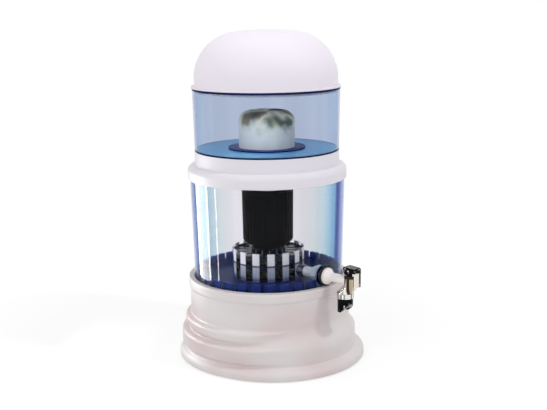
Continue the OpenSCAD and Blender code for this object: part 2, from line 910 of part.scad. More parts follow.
module carbon_bed() {
    color([0.10, 0.10, 0.10])
        bed(carbon_z, carbon_h);
}

// ---- Mineral case ----

// Upright windows through the case's wall
module case_windows(z, h) {
    around(windows)
        translate([case_in_r - 2 * case_wall, -window_w / 2, z])
            cube([4 * case_wall, window_w, h]);
}

// Wall of the case
module mineral_case() {
    window_z = case_z + case_wall + window_band;
    color([0.70, 0.74, 0.80, 0.55])
        difference() {
            ring(case_r, case_in_r, case_z, case_body_h);
            case_windows(window_z, case_lid_z - 2 * window_band - window_z);
        }
}

// Floor of the case, pressed into its wall
module case_floor() {
    color([0.70, 0.74, 0.80, 0.55])
        translate([0, 0, case_z])
            cylinder(h = case_wall, r = case_in_r - slip);
}

module mineral_case_lid() {
    plug_r = case_in_r - case_gap;
    plug_in = plug_r - case_wall;
    slot_from = case_cup_r + 2 * case_wall;
    slot_len = case_in_r - 2 * case_wall - slot_from;
    cup_sunk = 1;
    color([0.72, 0.76, 0.82, 0.55])
        difference() {
            union() {
                difference() {
                    translate([0, 0, case_lid_z])
                        cylinder(h = case_lid_h, r = case_r);
                    translate([0, 0, case_lid_z - cut])
                        cylinder(h = case_plate_z - case_lid_z + cut, r = plug_in);
                    translate([0, 0, case_plate_z + case_wall])
                        cylinder(h = case_lid_h, r = case_in_r);
                }
                ring(plug_r, plug_in, case_lid_z - case_plug_h, case_plug_h + cut);
                ring(case_cup_r + case_wall, case_cup_r, case_plate_z, case_top_z - case_plate_z - cup_sunk);
            }
            around(windows) {
                translate([slot_from, -case_slot_w / 2, case_plate_z - cut])
                    cube([slot_len, case_slot_w, case_wall + 2 * cut]);
                translate([case_in_r - case_wall, -window_w / 2, case_top_z - merlon_h])
                    cube([3 * case_wall, window_w, merlon_h + cut]);
            }
            case_windows(case_lid_z + window_band, case_plate_z - case_lid_z - 2 * window_band);
            translate([0, 0, case_plate_z - cut])
                cylinder(h = case_wall + 2 * cut, r = case_cup_r / 2);
        }
}

// Two layers of round stones: one in the middle and rings of 6, 12 and 18 around it
module mineral_stones() {
    first_z = case_z + case_wall + stone_r + ridge / 2;
    top_smaller = 0.9;
    nest = 1;
    color([0.55, 0.53, 0.50])
        for (layer = [0:1])
            for (k = [0:stone_rings])
                for (i = [0:max(6 * k - 1, 0)])
                    rotate([0, 0, i * 60 / max(k, 1) + 30 * layer])
                        translate([k * stone_pitch, 0, first_z + layer * (stone_pitch - nest)])
                            if (layer == 0 || k < stone_rings)
                                sphere(r = stone_r - layer * top_smaller);
}

// ---- Tap ----

module tap_barrel() {
    wall_in = boss_face + gasket_t;
    taper_end = flange_face + barrel_taper;
    color([0.93, 0.93, 0.94])
        difference() {
            union() {
                outward(shank_end, wall_in, shank_r, shank_r);
                outward(wall_in, flange_face, tap_flange_r, tap_flange_r);
                outward(flange_face, taper_end, tap_flange_r - 1.5, barrel_r);
                outward(taper_end, tap_y - chamber_r, barrel_r, barrel_r);
            }
            outward(shank_end - cut, tap_y, channel_r, channel_r);
            translate([0, -tap_y, tap_z - 2 * barrel_r])
                cylinder(h = 4 * barrel_r, r = chamber_r);
        }
}

module tap_outer_gasket() {
    color([0.07, 0.07, 0.08])
        difference() {
            outward(boss_face, boss_face + gasket_t, gasket_r, gasket_r);
            outward(boss_face - cut, boss_face + gasket_t + cut, shank_r + slip, shank_r + slip);
        }
}

module tap_inner_gasket() {
    color([0.07, 0.07, 0.08])
        difference() {
            outward(boss_back - gasket_t, boss_back, gasket_r - 1, gasket_r - 1);
            outward(boss_back - gasket_t - cut, boss_back + cut, shank_r + slip, shank_r + slip);
        }
}

module tap_back_nut() {
    color([0.90, 0.92, 0.95])
        difference() {
            translate([0, -nut_back, tap_z])
                rotate([90, 0, 0])
                    cylinder(h = nut_h, r = nut_r, $fn = 6);
            outward(nut_back - cut, nut_back + nut_h + cut, shank_r + run_fit, shank_r + run_fit);
        }
}

module tap_strainer() {
    r_in = shank_r + run_fit;
    slots = 8;
    color([0.88, 0.90, 0.93])
        difference() {
            outward(strainer_end, strainer_end + strainer_len, r_in + strainer_wall, r_in + strainer_wall);
            outward(strainer_end + strainer_wall, strainer_end + strainer_len + cut, r_in, r_in);
            translate([0, -strainer_end + cut, tap_z])
                rotate([90, 0, 0])
                    around(slots)
                        translate([3, -0.6, 0])
                            cube([r_in - 5, 1.2, strainer_wall + 2 * cut]);
        }
}

// Outside of the tap's body: an upright valve body that leans back to the spout's collar
module tap_body_outside() {
    lean_top = seat_face_z + 4;
    translate([0, -tap_y, lean_top])
        cylinder(h = tap_top_z - lean_top, r = tap_body_r);
    hull() {
        translate([0, -tap_y, lean_top])
            cylinder(h = 1, r = tap_body_r, $fn = 64);
        translate([0, -spout_y, spout_z])
            cylinder(h = 1.5, r = ring_nut_r - 0.6, $fn = 64);
    }
    translate([0, -spout_y, spout_z - ring_nut_h + 2])
        cylinder(h = ring_nut_h, r = spigot_out_r);
}

module tap_body() {
    passage_z = spout_z + seat_r + 1;
    color([0.72, 0.72, 0.74])
        difference() {
            tap_body_outside();
            translate([0, -tap_y, seat_face_z])
                cylinder(h = tap_top_z - seat_face_z + cut, r = chamber_r);
            translate([0, -tap_y, passage_z])
                cylinder(h = seat_face_z - passage_z + cut, r = seat_r);
            translate([0, -spout_y, passage_z])
                rotate([90, 0, 0])
                    cylinder(h = spout_back, r = seat_r);
            translate([0, -tap_y, passage_z])
                sphere(r = seat_r);
            translate([0, -spout_y, nozzle_z])
                cylinder(h = ring_nut_h + cut / 2, r = socket_r);
            translate([0, -spout_y, nozzle_z])
                cylinder(h = passage_z - nozzle_z, r = nozzle_bore);
            outward(tap_y - tap_body_r - cut, tap_y, barrel_r + run_fit, barrel_r + run_fit);
        }
}

module tap_ring_nut() {
    groove = 0.7;
    color([0.80, 0.80, 0.82])
        translate([0, -spout_y, nozzle_z])
            difference() {
                cylinder(h = ring_nut_h, r = ring_nut_r);
                translate([0, 0, -cut])
                    cylinder(h = ring_nut_h + 2 * cut, r = spigot_out_r + run_fit);
                for (k = [1, 2])
                    translate([0, 0, k * ring_nut_h / 3 - groove / 2])
                        difference() {
                            cylinder(h = groove, r = ring_nut_r + cut);
                            cylinder(h = groove, r = ring_nut_r - groove);
                        }
            }
}

module tap_nozzle() {
    color([0.06, 0.06, 0.07])
        translate([0, -spout_y, nozzle_end_z])
            difference() {
                union() {
                    cylinder(h = nozzle_len, r = nozzle_r);
                    cylinder(h = nozzle_len + ring_nut_h, r = socket_r - run_fit);
                }
                translate([0, 0, -cut])
                    cylinder(h = nozzle_len + ring_nut_h + 2 * cut, r = nozzle_bore);
                rotate([180 - nozzle_cut, 0, 0])
                    translate([-2 * nozzle_r, 0, 0])
                        cube([4 * nozzle_r, 3 * nozzle_r, 2 * nozzle_r]);
            }
}

module tap_bonnet() {
    color([0.75, 0.75, 0.77])
        translate([0, -tap_y, tap_top_z])
            difference() {
                union() {
                    cylinder(h = bonnet_t, r = tap_body_r);
                    translate([0, 0, -bonnet_plug])
                        cylinder(h = bonnet_plug, r = chamber_r - run_fit);
                }
                translate([0, 0, -bonnet_plug - cut])
                    cylinder(h = bonnet_plug + bonnet_t + 2 * cut, r = stem_r + run_fit);
            }
}

// The stem, its spring collar and the head that the lever's pin runs through
module tap_stem() {
    stem_foot = seat_face_z + plug_skin;
    color([0.75, 0.75, 0.77])
        translate([0, -tap_y, 0])
            difference() {
                union() {
                    translate([0, 0, stem_foot])
                        cylinder(h = pin_z - stem_foot, r = stem_r);
                    translate([0, 0, plug_top_z])
                        cylinder(h = collar_t, r = collar_r);
                    translate([-head_w / 2, 0, pin_z])
                        rotate([0, 90, 0])
                            cylinder(h = head_w, r = head_r);
                }
                translate([-head_w, 0, pin_z])
                    rotate([0, 90, 0])
                        cylinder(h = 2 * head_w, r = pin_r + run_fit);
            }
}

module tap_seat_plug() {
    color([0.10, 0.10, 0.11])
        translate([0, -tap_y, seat_face_z])
            difference() {
                cylinder(h = plug_h, r = plug_r);
                translate([0, 0, plug_skin])
                    cylinder(h = plug_h, r = stem_r);
            }
}

// Points of one ring of the spring's wire, at a turn of a degrees
function wire_ring(a, rise) = [for (j = [0:7])
    let (b = 45 * j, r = coil_r + wire_r * cos(b))
    [r * cos(a), r * sin(a), rise * a / 360 + wire_r * sin(b)]];

// A helical compression spring between the stem's collar and the bonnet
module tap_spring() {
    low = spring_z + wire_r + 0.05;
    rise = (spring_top_z - low - wire_r - 0.05) / coil_turns;
    per_turn = 20;
    rings = coil_turns * per_turn;
    points = [for (i = [0:rings]) each wire_ring(i * 360 / per_turn, rise)];
    sides = [for (i = [0:rings - 1], j = [0:7])
        let (k = (j + 1) % 8)
        [8 * i + j, 8 * i + 8 + j, 8 * i + 8 + k, 8 * i + k]];
    color([0.78, 0.78, 0.80])
        translate([0, -tap_y, low])
            polyhedron(points, concat([[0, 1, 2, 3, 4, 5, 6, 7]], sides,
                                      [[for (j = [7:-1:0]) 8 * rings + j]]));
}

// Point of the cam that faces the bonnet when the lever has swung by a degrees, from the pin
function cam_point(a) =
    let (h = cam_r + cam_rate * a * PI / 180)
    [h * sin(a) + cam_rate * cos(a), cam_rate * sin(a) - h * cos(a)];

// Side view of the lever, with the pin at the origin, the tank to the right and up upwards
module lever_outline() {
    steps = 10;
    cam = [for (i = [0:steps]) cam_point(lever_swing * i / steps)];
    back = cam[steps][0];
    polygon(concat([[-lever_out, -cam_r / 2], [-lever_out + tab_t + 2, -cam_r]], cam,
                   [[back, lever_up - 2], [back - 2, lever_up],
                    [2 - lever_out, lever_up - 1], [-lever_out, lever_up - 3]]));
    translate([-lever_out, -tab_down])
        square([tab_t, tab_down]);
}

module tap_lever() {
    slot_w = head_w + 2 * ridge;
    web = head_r + 2 * ridge;
    color([0.12, 0.12, 0.13])
        translate([0, -tap_y, pin_z])
            difference() {
                translate([-lever_w / 2, 0, 0])
                    rotate([90, 0, 90])
                        linear_extrude(height = lever_w)
                            lever_outline();
                for (side = [-1, 1])
                    translate([side * (tab_w + lever_w) / 2, -lever_out, -tab_down / 2 - cam_r / 2])
                        cube([lever_w, 4 * tab_t, tab_down], center = true);
                translate([-slot_w / 2, -web, -2 * cam_r])
                    cube([slot_w, 4 * cam_r, 2 * cam_r + web]);
                translate([-lever_w, 0, 0])
                    rotate([0, 90, 0])
                        cylinder(h = 2 * lever_w, r = pin_r + run_fit);
            }
}

module tap_lever_pin() {
    color([0.78, 0.78, 0.80])
        translate([-pin_len / 2, -tap_y, pin_z])
            rotate([0, 90, 0])
                cylinder(h = pin_len, r = pin_r);
}

base_stand();
seat_plate();
foot_ring();
lower_tank();
filter_cover();
upper_tank();
dome_lid();
ceramic_plate();
ceramic_dome();
ceramic_washer();
wing_nut();
cartridge_top();
cartridge_seal();
cartridge_lock_nut();
cartridge_housing();
cartridge_outlet();
felt_pads();
carbon_bed();
zeolite_bed();
sand_bed();
resin_bed();
case_floor();
mineral_case();
mineral_case_lid();
mineral_stones();
tap_barrel();
tap_outer_gasket();
tap_inner_gasket();
tap_back_nut();
tap_strainer();
tap_body();
tap_ring_nut();
tap_nozzle();
tap_bonnet();
tap_stem();
tap_seat_plug();
tap_spring();
tap_lever();
tap_lever_pin();
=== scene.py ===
"""Gravity water filter with a tap: looks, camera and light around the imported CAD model."""

import math
import random

import bmesh
import bpy
from mathutils import Matrix, Vector, noise


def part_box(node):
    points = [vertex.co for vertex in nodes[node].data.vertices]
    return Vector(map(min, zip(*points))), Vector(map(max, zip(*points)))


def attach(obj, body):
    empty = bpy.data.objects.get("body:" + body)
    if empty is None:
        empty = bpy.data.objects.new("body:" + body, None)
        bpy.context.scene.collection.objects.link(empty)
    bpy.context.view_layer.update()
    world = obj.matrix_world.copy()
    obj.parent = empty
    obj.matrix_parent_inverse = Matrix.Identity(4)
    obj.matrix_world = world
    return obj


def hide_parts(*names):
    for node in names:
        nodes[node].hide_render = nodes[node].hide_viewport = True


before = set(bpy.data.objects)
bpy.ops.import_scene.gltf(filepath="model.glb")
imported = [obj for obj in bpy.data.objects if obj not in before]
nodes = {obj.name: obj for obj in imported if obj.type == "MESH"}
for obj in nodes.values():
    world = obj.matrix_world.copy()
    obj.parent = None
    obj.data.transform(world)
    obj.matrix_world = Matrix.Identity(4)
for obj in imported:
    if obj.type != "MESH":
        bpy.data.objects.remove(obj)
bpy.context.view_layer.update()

MM = 0.001
LOW, HIGH = 0, 1
X, Y, Z = 0, 1, 2


# ---- Sizes and heights from the CAD, in millimetres ----


def mm(node, side, axis):
    """The low or high side of a CAD node's box along an axis, to a tenth of a millimetre."""
    return round(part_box(node)[side][axis] / MM, 1)


def middle(node, axis):
    """The middle of a CAD node's box along an axis, in millimetres."""
    return (mm(node, LOW, axis) + mm(node, HIGH, axis)) / 2


# The stand, from its lip's underside up.
LIP_Z = mm("base_stand", LOW, Z)
LIP_R = mm("base_stand", HIGH, Y)
STAND_H = mm("base_stand", HIGH, Z) - LIP_Z
SEAT_H = mm("lower_tank", LOW, Z) - LIP_Z
FOOT_R = mm("foot_ring", HIGH, X)

# The tanks. Heights are in the shared frame, as they are for all that follows.
LOWER_FLOOR_Z = mm("mineral_case", LOW, Z)
UPPER_FLOOR_Z = mm("ceramic_washer", LOW, Z)
UPPER_RIM_Z = mm("upper_tank", HIGH, Z)
UPPER_FLOOR_R = 116.0  # where the upper tank's floor turns into its dark rim
BLOCKS, BLOCK_H = 32, 13.0  # the blocks along the foot of the lower tank's wall
BLOCKS_R = 119.2  # inside the wall

# The mineral case and the ceramic dome.
CASE_R = mm("mineral_case", HIGH, X)
CASE_JOINT_Z = mm("mineral_case", HIGH, Z)
CASE_TOP_Z = mm("mineral_case_lid", HIGH, Z)
WINDOWS = 15
CERAMIC_Z = mm("ceramic_dome", LOW, Z)

# The tap: the axes of its body and of its spout, and the finger tab of its lever.
TAP_Y = middle("tap_bonnet", Y)
TAP_TOP_Z = mm("tap_body", HIGH, Z)
SPOUT_Y = middle("tap_nozzle", Y)
TAB_Y = mm("tap_lever", LOW, Y) + 4.6
TAB_TOP_Z = mm("tap_bonnet", HIGH, Z) + 4.8


# ---- Material helpers ----


def rgb(r, g, b):
    """A colour given as it looks on screen, 0 to 255, as the linear colour that shaders take."""
    out = []
    for v in (r, g, b):
        v /= 255
        out.append(v / 12.92 if v <= 0.04045 else ((v + 0.055) / 1.055) ** 2.4)
    return (*out, 1.0)


def brighter(colour, times):
    """A linear colour made brighter by a factor, but no brighter than white."""
    return (*(min(1.0, c * times) for c in colour[:3]), 1.0)


def maths(tree, operation, *values):
    """One Math node. Its values are sockets or numbers."""
    n = tree.nodes.new("ShaderNodeMath")
    n.operation = operation
    for socket, value in zip(n.inputs, values):
        if isinstance(value, (int, float)):
            socket.default_value = value
        else:
            tree.links.new(value, socket)
    return n.outputs[0]


class Look:
    """A material and its Principled shader, with short calls for procedural detail."""

    def __init__(self, name, **inputs):
        self.material = bpy.data.materials.new(name)
        self.material.use_nodes = True
        self.tree = self.material.node_tree
        self.shader = self.tree.nodes["Principled BSDF"]
        self.coords = self.node("ShaderNodeTexCoord").outputs["Object"]
        for key, value in inputs.items():
            self.shader.inputs[key.replace("_", " ")].default_value = value

    def node(self, kind, **props):
        n = self.tree.nodes.new(kind)
        for key, value in props.items():
            setattr(n, key, value)
        return n

    def link(self, a, b):
        self.tree.links.new(a, b)

    def maths(self, operation, *values):
        return maths(self.tree, operation, *values)

    def axes(self):
        """X, Y and Z in the shared frame, in metres."""
        n = self.node("ShaderNodeSeparateXYZ")
        self.link(self.coords, n.inputs[0])
        return n.outputs

    def reach(self, x, y):
        """Distance from the upright axis, in metres."""
        square = self.maths("ADD", self.maths("MULTIPLY", x, x), self.maths("MULTIPLY", y, y))
        return self.maths("SQRT", square)

    def above(self, place, limit):
        """Mask of where a place lies beyond a limit in millimetres."""
        return self.maths("GREATER_THAN", place, limit * MM)

    def below(self, place, limit):
        """Mask of where a place lies short of a limit in millimetres."""
        return self.maths("LESS_THAN", place, limit * MM)

    def both(self, a, b):
        """Where two masks overlap."""
        return self.maths("MULTIPLY", a, b)

    def either(self, a, b):
        """Two masks joined."""
        return self.maths("MAXIMUM", a, b)

    def ribs(self, angle, count, at_low, at_high):
        """1 on a number of bands round the axis, one of them at angle 0, and 0 between them."""
        wave = self.maths("COSINE", self.maths("MULTIPLY", angle, float(count)))
        return self.range(wave, 0, 1, at_low, at_high)

    def towards(self, angle, degrees):
        """Cosine of the angle between a place and a direction round the axis."""
        return self.maths("COSINE", self.maths("SUBTRACT", angle, math.radians(degrees)))

    def noise(self, scale, detail=3.0, rough=0.5, stretch=(1, 1, 1)):
        shape = self.node("ShaderNodeMapping")
        shape.inputs["Scale"].default_value = stretch
        self.link(self.coords, shape.inputs["Vector"])
        n = self.node("ShaderNodeTexNoise")
        n.inputs["Scale"].default_value = scale
        n.inputs["Detail"].default_value = detail
        n.inputs["Roughness"].default_value = rough
        self.link(shape.outputs[0], n.inputs["Vector"])
        return n.outputs["Fac"]

    def ramp(self, fac, *stops):
        """A colour ramp from (position, colour) pairs."""
        r = self.node("ShaderNodeValToRGB")
        while len(r.color_ramp.elements) < len(stops):
            r.color_ramp.elements.new(0.5)
        for element, (at, colour) in zip(r.color_ramp.elements, stops):
            element.position = at
            element.color = colour
        self.link(fac, r.inputs["Fac"])
        return r.outputs["Color"]

    def range(self, fac, low, high, at_low=0.35, at_high=0.65):
        """From low to high as fac goes from at_low to at_high. The defaults suit a noise."""
        m = self.node("ShaderNodeMapRange")
        m.inputs["From Min"].default_value = at_low
        m.inputs["From Max"].default_value = at_high
        m.inputs["To Min"].default_value = low
        m.inputs["To Max"].default_value = high
        self.link(fac, m.inputs["Value"])
        return m.outputs["Result"]

    def fade(self, place, start, end, low=0, high=1):
        """From low to high as a place goes from start to end, which are in millimetres."""
        return self.range(place, low, high, start * MM, end * MM)

    def mix(self, fac, a, b):
        """Colour a where fac is 0 and b where it is 1. a and b are sockets or colours."""
        m = self.node("ShaderNodeMix", data_type="RGBA")
        if isinstance(fac, float):
            m.inputs["Factor"].default_value = fac
        else:
            self.link(fac, m.inputs["Factor"])
        for key, value in (("A", a), ("B", b)):
            socket = next(s for s in m.inputs if s.name == key and s.type == "RGBA")
            if isinstance(value, tuple):
                socket.default_value = value
            else:
                self.link(value, socket)
        return next(s for s in m.outputs if s.type == "RGBA")

    def multiply(self, a, b):
        """The product of two colours."""
        out = self.mix(1.0, a, b)
        out.node.blend_type = "MULTIPLY"
        return out

    def colour(self, out):
        self.link(out, self.shader.inputs["Base Color"])

    def roughness(self, out):
        self.link(out, self.shader.inputs["Roughness"])

    def worn(self, rough):
        """Uneven polish of a metal face."""
        self.roughness(self.range(self.noise(90, 5, 0.6), rough * 0.7, rough * 1.5))

    def bump(self, height, distance, strength=1.0):
        """Fine relief. The distance is in metres."""
        b = self.node("ShaderNodeBump")
        b.inputs["Distance"].default_value = distance
        b.inputs["Strength"].default_value = strength
        self.link(height, b.inputs["Height"])
        self.link(b.outputs["Normal"], self.shader.inputs["Normal"])

    def surface(self, out):
        self.link(out, self.tree.nodes["Material Output"].inputs["Surface"])

    def dress(self, *things):
        """Puts this material on CAD nodes, by name, and on pieces."""
        for thing in things:
            o = nodes[thing] if isinstance(thing, str) else thing
            o.data.materials.clear()
            o.data.materials.append(self.material)


def moulded(name, light, dark, rough=0.3, grain=0.00002, coat=0.0, shine=0.5, glow=0.0):
    """Moulded plastic: a slight drift of tone, uneven gloss and the fine texture of the mould.
    Glow is the share of light that passes through a thin white shell."""
    look = Look(name, IOR=1.5, Coat_Weight=coat, Coat_Roughness=0.08, Specular_IOR_Level=shine)
    look.colour(look.ramp(look.noise(3.5, 2), (0.3, dark), (0.7, light)))
    look.roughness(look.range(look.noise(22, 3), rough * 0.85, rough * 1.2))
    look.bump(look.noise(1100, 2), grain)
    if glow:
        through = look.node("ShaderNodeBsdfTranslucent")
        through.inputs["Color"].default_value = light
        shares = look.node("ShaderNodeMixShader")
        shares.inputs["Fac"].default_value = glow
        look.link(look.shader.outputs[0], shares.inputs[1])
        look.link(through.outputs[0], shares.inputs[2])
        look.surface(shares.outputs[0])
    return look


def clear(name, tint, absorb, density, edges, coat, deep_part, milky_part=None):
    """Clear tinted plastic. It darkens with the depth that is looked through, and its edges are tinted.
    deep_part and milky_part each give a mask and a colour: of what is dark and solid, and of a milky
    floor."""
    look = Look(name, IOR=1.12, Coat_Roughness=0.03, Specular_IOR_Level=0.15)
    x, y, z = look.axes()
    reach = look.reach(x, y)
    angle = look.maths("ARCTAN2", y, x)
    facing = look.node("ShaderNodeLayerWeight")
    facing.inputs["Blend"].default_value = 0.5
    facing = facing.outputs["Facing"]
    deep, deep_colour = deep_part(look, reach, z, angle)
    streaks = look.noise(19, 2, stretch=(1, 1, 0.06))
    body = look.ramp(streaks, (0.40, tint), (0.66, brighter(tint, 1.10)))
    body = look.multiply(body, look.ramp(facing, *edges))
    opaque = look.maths("MULTIPLY", deep, 0.95)
    if milky_part:
        milky, milky_colour = milky_part(look, reach, z)
        body = look.mix(milky, body, milky_colour)
        opaque = look.either(opaque, look.maths("MULTIPLY", milky, 0.8))
    look.colour(look.mix(deep, body, deep_colour))
    look.link(look.maths("SUBTRACT", 1.0, opaque), look.shader.inputs["Transmission Weight"])
    gloss = look.range(facing, 0, coat, 0.04, 0.30)
    look.link(look.both(look.maths("SUBTRACT", 1.0, deep), gloss), look.shader.inputs["Coat Weight"])
    look.roughness(look.range(look.noise(25, 3), 0.02, 0.04))
    look.bump(look.noise(11, 1, stretch=(1, 1, 0.25)), 0.0003, 0.25)
    depth = look.node("ShaderNodeVolumeAbsorption")
    depth.inputs["Color"].default_value = absorb
    depth.inputs["Density"].default_value = density
    look.link(depth.outputs[0], look.tree.nodes["Material Output"].inputs["Volume"])
    return look


def granular(name, light, dark, size, depth, rough=0.8):
    """Loose grains packed together. Their size and the depth between them are in metres."""
    look = Look(name)
    cells = look.node("ShaderNodeTexVoronoi")
    cells.inputs["Scale"].default_value = 1 / size
    look.link(look.coords, cells.inputs["Vector"])
    look.colour(look.ramp(cells.outputs["Color"], (0.1, dark), (0.9, light)))
    look.roughness(look.range(look.noise(60, 2), rough * 0.9, rough))
    look.bump(cells.outputs["Distance"], depth)
    return look


def metal(name, light, dark, rough, scratch=0.00001):
    """Plain bright metal."""
    look = Look(name, Metallic=1.0)
    look.colour(look.ramp(look.noise(40, 3), (0.3, dark), (0.7, light)))
    look.worn(rough)
    look.bump(look.noise(500, 2), scratch)
    return look


def banded(name, light, dark, around_y, painted_bands, dark_above=None, brown_reflection_at=None):
    """Polished metal with upright dark stripes round an axis painted into its colour: painted reflections
    of a room, as polished chrome shows. The stripes are given as pairs of degrees: where one lies, and
    half its width.
    dark_above is a height in millimetres, and a browner reflection is painted round the degrees given for
    it."""
    look = Look(name, Metallic=1.0)
    x, y, z = look.axes()
    angle = look.maths("ARCTAN2", look.maths("SUBTRACT", y, around_y * MM), x)
    dark_top_and_reflections = 0.0 if dark_above is None else look.above(z, dark_above)
    # Each stripe is a painted reflection of something dark in a room.
    for at, half in painted_bands:
        limit = math.cos(math.radians(half))
        band = look.range(look.towards(angle, at), 0, 1, limit - 0.006, limit + 0.006)
        dark_top_and_reflections = look.either(dark_top_and_reflections, band)
    bright = look.ramp(look.noise(60, 3), (0.3, light), (0.7, brighter(light, 1.08)))
    if brown_reflection_at is not None:
        # A browner reflection, painted near one angle.
        near = look.range(look.towards(angle, brown_reflection_at), 0, 1, 0.72, 0.98)
        bright = look.mix(near, bright, REFLECTED_BROWN)
    look.colour(look.mix(dark_top_and_reflections, bright, dark))
    look.worn(0.07)
    look.bump(look.noise(500, 2), 0.00001)
    return look


# ---- Materials ----

NAVY_DEEP = (0.013, 0.027, 0.135, 1)
NAVY_LINE = (0.012, 0.020, 0.080, 1)
MILKY_BLUE = (0.22, 0.60, 0.95, 1)
# A browner reflection painted on the tap's chrome.
REFLECTED_BROWN = (0.42, 0.34, 0.24, 1)
# Painted highlight for specks on the tap's smoked chrome.
SPECK_HIGHLIGHT = (0.80, 0.80, 0.80, 1)
SMOKE = (0.006, 0.006, 0.007, 1)
# Painted reflection on the lever's finger tab.
TAB_REFLECTION = (0.74, 0.71, 0.66, 1)
# The case's dark body, which also stands as painted shade for the inside seen through its windows.
CASE_DARK = rgb(14, 19, 36)


def upper_deep(look, reach, z, angle):
    """The upper tank's rim under the lid, and the rim round its floor."""
    foot = look.both(look.below(z, UPPER_FLOOR_Z + 0.1), look.above(reach, UPPER_FLOOR_R))
    return look.either(look.above(z, UPPER_RIM_Z - 3.5), foot), NAVY_LINE


def upper_floor(look, reach, z):
    """The polished floor of the upper tank."""
    colour = look.ramp(look.noise(9, 2), (0.35, MILKY_BLUE), (0.65, brighter(MILKY_BLUE, 1.25)))
    return look.both(look.below(z, UPPER_FLOOR_Z + 0.1), look.below(reach, UPPER_FLOOR_R)), colour


def lower_deep(look, reach, z, angle):
    """The lower tank's floor and the ring of blocks along its wall's foot. The blocks are painted paler,
    more so towards their tops, and the floor near the wall paler in stripes in line with them: painted
    light.
    """
    inner = look.both(look.below(z, LOWER_FLOOR_Z + BLOCK_H + 2), look.below(reach, BLOCKS_R))
    mask = look.either(inner, look.below(z, LOWER_FLOOR_Z + 0.5))
    # Painted light: stripes in line with the blocks, paler on the floor towards the wall, and the blocks
    # paler towards their tops.
    painted_bands = look.both(look.ribs(angle, BLOCKS, -0.4, 0.4), look.fade(reach, 95, 115, 0, 0.5))
    lit_towards_top = look.fade(z, LOWER_FLOOR_Z + 0.5, LOWER_FLOOR_Z + BLOCK_H - 0.5, 0.5, 1)
    paler = look.either(painted_bands, look.both(lit_towards_top, look.above(z, LOWER_FLOOR_Z + 0.3)))
    return mask, look.mix(paler, NAVY_DEEP, brighter(NAVY_DEEP, 2.3))


def make_case_look():
    """The mineral case: pale bars between its windows, finely lined below, on a dark slotted body. Much of
    it is
    painted light and shade: the dark at the windows stands for the shaded inside, the fine lines for the
    light and shade on fine ribs, the bars are painted darker and bluer towards the floor and white near
    the top, as they are lit, and the pale ring round the top's outer edge is a painted highlight.
    """
    look = Look("case_painted_light", Coat_Weight=0.15, Coat_Roughness=0.05, Specular_IOR_Level=0.2)
    x, y, z = look.axes()
    reach = look.reach(x, y)
    angle = look.maths("ADD", look.maths("ARCTAN2", y, x), math.pi / WINDOWS)
    bars = look.ribs(angle, WINDOWS, -0.1, 0.25)
    lines = look.range(look.ribs(angle, 10 * WINDOWS, -0.6, 0.6), 0.45, 1.0, 0, 1)
    lines = look.either(lines, look.above(z, CASE_JOINT_Z - 0.5))
    # Painted light on the bars: darker and bluer towards the floor, white near the top.
    lit_bar_tone = look.ramp(
        look.fade(z, LOWER_FLOOR_Z + 3.5, CASE_TOP_Z - 7),
        (0.0, rgb(110, 126, 168)),
        (0.16, rgb(206, 216, 238)),
        (0.58, rgb(224, 232, 246)),
        (0.66, rgb(252, 253, 255)),
    )
    groove = look.both(look.above(z, CASE_JOINT_Z - 1.7), look.below(z, CASE_JOINT_Z + 1.5))
    # Where there are no bars, the dark is painted shade for the inside seen through the windows.
    wall = look.mix(look.both(bars, lines), CASE_DARK, lit_bar_tone)
    wall = look.mix(look.maths("MULTIPLY", groove, 0.85), wall, CASE_DARK)
    top = look.mix(look.ribs(angle, WINDOWS, 0.90, 0.96), CASE_DARK, rgb(120, 128, 148))
    # A painted highlight round the top's outer edge.
    rim = look.both(look.above(z, CASE_TOP_Z - 4.8), look.fade(reach, CASE_R - 2.2, CASE_R - 1.8))
    top = look.mix(rim, top, rgb(236, 238, 244))
    look.colour(look.mix(look.fade(reach, CASE_R - 0.4, CASE_R - 0.2), top, wall))
    look.roughness(look.range(look.noise(40, 3), 0.16, 0.26))
    look.bump(look.noise(300, 2, stretch=(1, 1, 0.1)), 0.0001)
    return look


def make_lever_look():
    """Smoked chrome: dark, with small bright specks on the cap that are painted highlights, and a bright
    face on the finger tab that is a painted reflection.
    """
    look = Look("tap_smoked_chrome", Metallic=1.0)
    x, y, z = look.axes()
    tab = look.both(look.below(z, TAB_TOP_Z), look.below(y, TAB_Y))
    # The tab's bright face is a painted reflection.
    face = look.both(tab, look.fade(x, 1.5, 4, 1, 0))
    painted_specks = look.range(look.noise(300, 1, 0.6), 0, 1, 0.66, 0.70)
    look.colour(look.mix(face, look.mix(painted_specks, SMOKE, SPECK_HIGHLIGHT), TAB_REFLECTION))
    look.roughness(look.range(look.noise(120, 4), 0.08, 0.2))
    look.bump(look.noise(500, 2), 0.00002)
    return look


def make_ceramic():
    """Ceramic: clean at its foot, stained by the water above a wavering line."""
    look = Look("ceramic_stained", Roughness=0.75)
    z = look.axes()[Z]
    waver = look.range(look.noise(26, 4, 0.6), -12 * MM, 12 * MM)
    stained = look.fade(look.maths("ADD", z, waver), CERAMIC_Z + 24.3, CERAMIC_Z + 42.3)
    clean = look.ramp(look.noise(30, 3), (0.3, rgb(250, 243, 226)), (0.7, rgb(255, 250, 236)))
    stain = look.ramp(
        look.noise(17, 2, 0.5),
        (0.37, rgb(86, 90, 80)),
        (0.46, rgb(150, 142, 110)),
        (0.54, rgb(252, 243, 208)),
        (0.63, rgb(104, 116, 92)),
    )
    look.colour(look.mix(stained, clean, stain))
    look.bump(look.noise(420, 4, 0.7), 0.0003)
    return look


